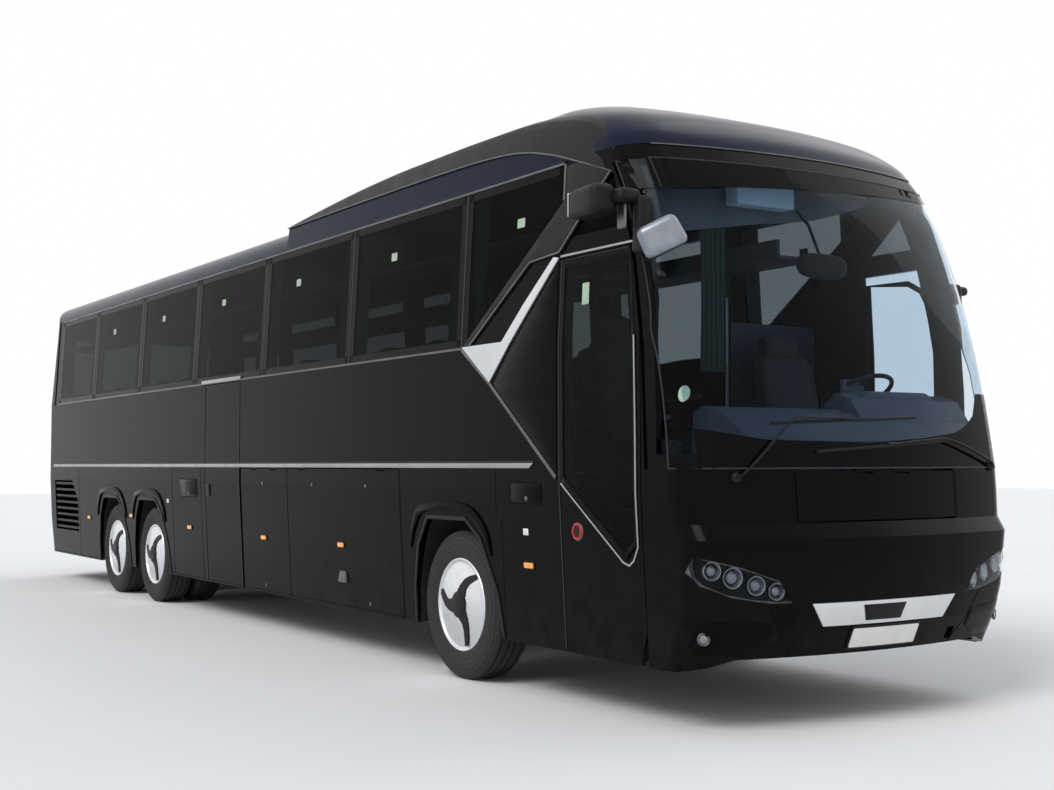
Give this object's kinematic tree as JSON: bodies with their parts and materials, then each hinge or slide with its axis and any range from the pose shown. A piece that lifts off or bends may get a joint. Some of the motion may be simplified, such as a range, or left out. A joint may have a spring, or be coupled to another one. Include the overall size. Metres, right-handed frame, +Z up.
{
  "type": "three-axle touring coach",
  "caption": "High-floor touring coach with raised front cap, hinged luggage flaps, swinging passenger doors, steered front wheels and a trailing axle behind the drive axle.",
  "frame": {"origin": "on the ground under the middle of the coach's length and width", "axes": "+X forward, +Y to the coach's left, +Z up"},
  "size_m": [13.8997, 3.11, 3.845],
  "materials": {
    "body_paint": "gloss",
    "frame_paint": "satin",
    "side_glazing": "gloss",
    "clear_glazing": "gloss",
    "lamp_glazing": "gloss",
    "bumper_skin": "gloss",
    "fairing_skin": "matte",
    "roof_unit_skin": "matte",
    "mirror_skin": "satin",
    "wiper_black": "matte",
    "dash_plastic": "matte",
    "seat_cloth": "matte",
    "curtain_cloth": "matte",
    "floor_cover": "matte",
    "rack_plastic": "matte",
    "tyre_rubber": "matte",
    "wheel_metal": "polished",
    "axle_steel": "matte",
    "engine_iron": "matte",
    "door_steel": "brushed"
  },
  "bodies": {
    "coach_body": {"underframe": "frame_paint", "cabin_floor": "floor_cover", "side_wall_left": "body_paint", "side_wall_right": "body_paint", "roof": "body_paint", "front_dome": "body_paint", "front_frame": "body_paint", "windscreen": "clear_glazing", "side_glass": "side_glazing", "rear_wall": "body_paint", "bumpers": "bumper_skin", "lamps": "lamp_glazing", "skirt_left": "body_paint", "skirt_right": "body_paint", "roof_fairings": "fairing_skin", "roof_ac_unit": "roof_unit_skin", "mirrors": "mirror_skin", "wipers": "wiper_black", "dashboard": "dash_plastic", "driver_partition": "rack_plastic", "cab_seats": "seat_cloth", "passenger_seats": "seat_cloth", "luggage_racks": "rack_plastic", "curtains": "curtain_cloth", "steering_column": "dash_plastic", "engine_block": "engine_iron", "front_axle": "axle_steel", "drive_axle": "axle_steel", "tag_axle": "axle_steel"},
    "front_door_arms": {"front_door_arms": "door_steel"},
    "front_door": {"front_door": "body_paint", "front_door_glass": "side_glazing"},
    "mid_door_arms": {"mid_door_arms": "door_steel"},
    "mid_door": {"mid_door": "body_paint"},
    "flap_left_rear": {"flap_left_rear": "body_paint"},
    "flap_left_middle": {"flap_left_middle": "body_paint"},
    "flap_left_front": {"flap_left_front": "body_paint"},
    "flap_right_rear": {"flap_right_rear": "body_paint"},
    "flap_right_front": {"flap_right_front": "body_paint"},
    "engine_hatch": {"engine_hatch": "body_paint"},
    "front_flap": {"front_flap": "body_paint"},
    "knuckle_left": {"knuckle_left": "axle_steel"},
    "knuckle_right": {"knuckle_right": "axle_steel"},
    "steering_wheel": {"steering_wheel": "dash_plastic"},
    "wheel_front_left": {"tyre_front_left": "tyre_rubber", "rim_front_left": "wheel_metal"},
    "wheel_front_right": {"tyre_front_right": "tyre_rubber", "rim_front_right": "wheel_metal"},
    "wheel_drive_left": {"tyre_drive_left": "tyre_rubber", "rim_drive_left": "wheel_metal"},
    "wheel_drive_right": {"tyre_drive_right": "tyre_rubber", "rim_drive_right": "wheel_metal"},
    "wheel_tag_left": {"tyre_tag_left": "tyre_rubber", "rim_tag_left": "wheel_metal"},
    "wheel_tag_right": {"tyre_tag_right": "tyre_rubber", "rim_tag_right": "wheel_metal"}
  },
  "joints": [
    {"name": "front_door_arm_swing", "type": "hinge", "parent": "coach_body", "child": "front_door_arms", "pos_m": [6.185, -1.12, 1.5], "axis": [0, 0, 1], "range_deg": [0, 128]},
    {"name": "front_door_turn", "type": "hinge", "parent": "front_door_arms", "child": "front_door", "pos_m": [5.78, -1.16, 1.5], "axis": [0, 0, 1], "range_deg": [-128, 0]},
    {"name": "mid_door_arm_swing", "type": "hinge", "parent": "coach_body", "child": "mid_door_arms", "pos_m": [-0.715, -1.12, 1.2], "axis": [0, 0, -1], "range_deg": [0, 145]},
    {"name": "mid_door_turn", "type": "hinge", "parent": "mid_door_arms", "child": "mid_door", "pos_m": [-0.31, -1.16, 1.2], "axis": [0, 0, -1], "range_deg": [-145, 0]},
    {"name": "flap_left_rear_lift", "type": "hinge", "parent": "coach_body", "child": "flap_left_rear", "pos_m": [-0.945, 1.267, 1.431], "axis": [1, 0, 0], "range_deg": [0, 90]},
    {"name": "flap_left_middle_lift", "type": "hinge", "parent": "coach_body", "child": "flap_left_middle", "pos_m": [0.54, 1.267, 1.431], "axis": [1, 0, 0], "range_deg": [0, 90]},
    {"name": "flap_left_front_lift", "type": "hinge", "parent": "coach_body", "child": "flap_left_front", "pos_m": [2.29, 1.267, 1.431], "axis": [1, 0, 0], "range_deg": [0, 90]},
    {"name": "flap_right_rear_lift", "type": "hinge", "parent": "coach_body", "child": "flap_right_rear", "pos_m": [0.715, -1.267, 1.431], "axis": [-1, 0, 0], "range_deg": [0, 90]},
    {"name": "flap_right_front_lift", "type": "hinge", "parent": "coach_body", "child": "flap_right_front", "pos_m": [2.29, -1.267, 1.431], "axis": [-1, 0, 0], "range_deg": [0, 90]},
    {"name": "engine_hatch_lift", "type": "hinge", "parent": "coach_body", "child": "engine_hatch", "pos_m": [-6.928, 0, 1.722], "axis": [0, 1, 0], "range_deg": [0, 85]},
    {"name": "front_flap_lift", "type": "hinge", "parent": "coach_body", "child": "front_flap", "pos_m": [6.861, 0, 1.424], "axis": [0, -1, 0], "range_deg": [0, 75]},
    {"name": "knuckle_right_steer", "type": "hinge", "parent": "coach_body", "child": "knuckle_right", "pos_m": [4.13, -0.96, 0.507], "axis": [0, 0, 1], "range_deg": [-40, 40]},
    {"name": "knuckle_left_steer", "type": "hinge", "parent": "coach_body", "child": "knuckle_left", "pos_m": [4.13, 0.96, 0.507], "axis": [0, 0, 1], "range_deg": [-40, 40]},
    {"name": "steering_wheel_turn", "type": "hinge", "parent": "coach_body", "child": "steering_wheel", "pos_m": [6.05, 0.64, 1.915], "axis": [-0.4695, 0, 0.8829], "range_deg": [-900, 900]},
    {"name": "wheel_front_right_spin", "type": "hinge", "parent": "knuckle_right", "child": "wheel_front_right", "pos_m": [4.13, -1.08, 0.507], "axis": [0, 1, 0], "continuous": true},
    {"name": "wheel_front_left_spin", "type": "hinge", "parent": "knuckle_left", "child": "wheel_front_left", "pos_m": [4.13, 1.08, 0.507], "axis": [0, 1, 0], "continuous": true},
    {"name": "wheel_drive_right_spin", "type": "hinge", "parent": "coach_body", "child": "wheel_drive_right", "pos_m": [-2.47, -1.08, 0.507], "axis": [0, 1, 0], "continuous": true},
    {"name": "wheel_drive_left_spin", "type": "hinge", "parent": "coach_body", "child": "wheel_drive_left", "pos_m": [-2.47, 1.08, 0.507], "axis": [0, 1, 0], "continuous": true},
    {"name": "wheel_tag_right_spin", "type": "hinge", "parent": "coach_body", "child": "wheel_tag_right", "pos_m": [-3.83, -1.08, 0.507], "axis": [0, 1, 0], "continuous": true},
    {"name": "wheel_tag_left_spin", "type": "hinge", "parent": "coach_body", "child": "wheel_tag_left", "pos_m": [-3.83, 1.08, 0.507], "axis": [0, 1, 0], "continuous": true}
  ],
  "couplings": [
    {"joint": "front_door_turn", "follows": "front_door_arm_swing", "ratio": -1},
    {"joint": "mid_door_turn", "follows": "mid_door_arm_swing", "ratio": -1},
    {"joint": "knuckle_left_steer", "follows": "knuckle_right_steer", "ratio": 1},
    {"joint": "steering_wheel_turn", "follows": "knuckle_right_steer", "ratio": 22}
  ]
}
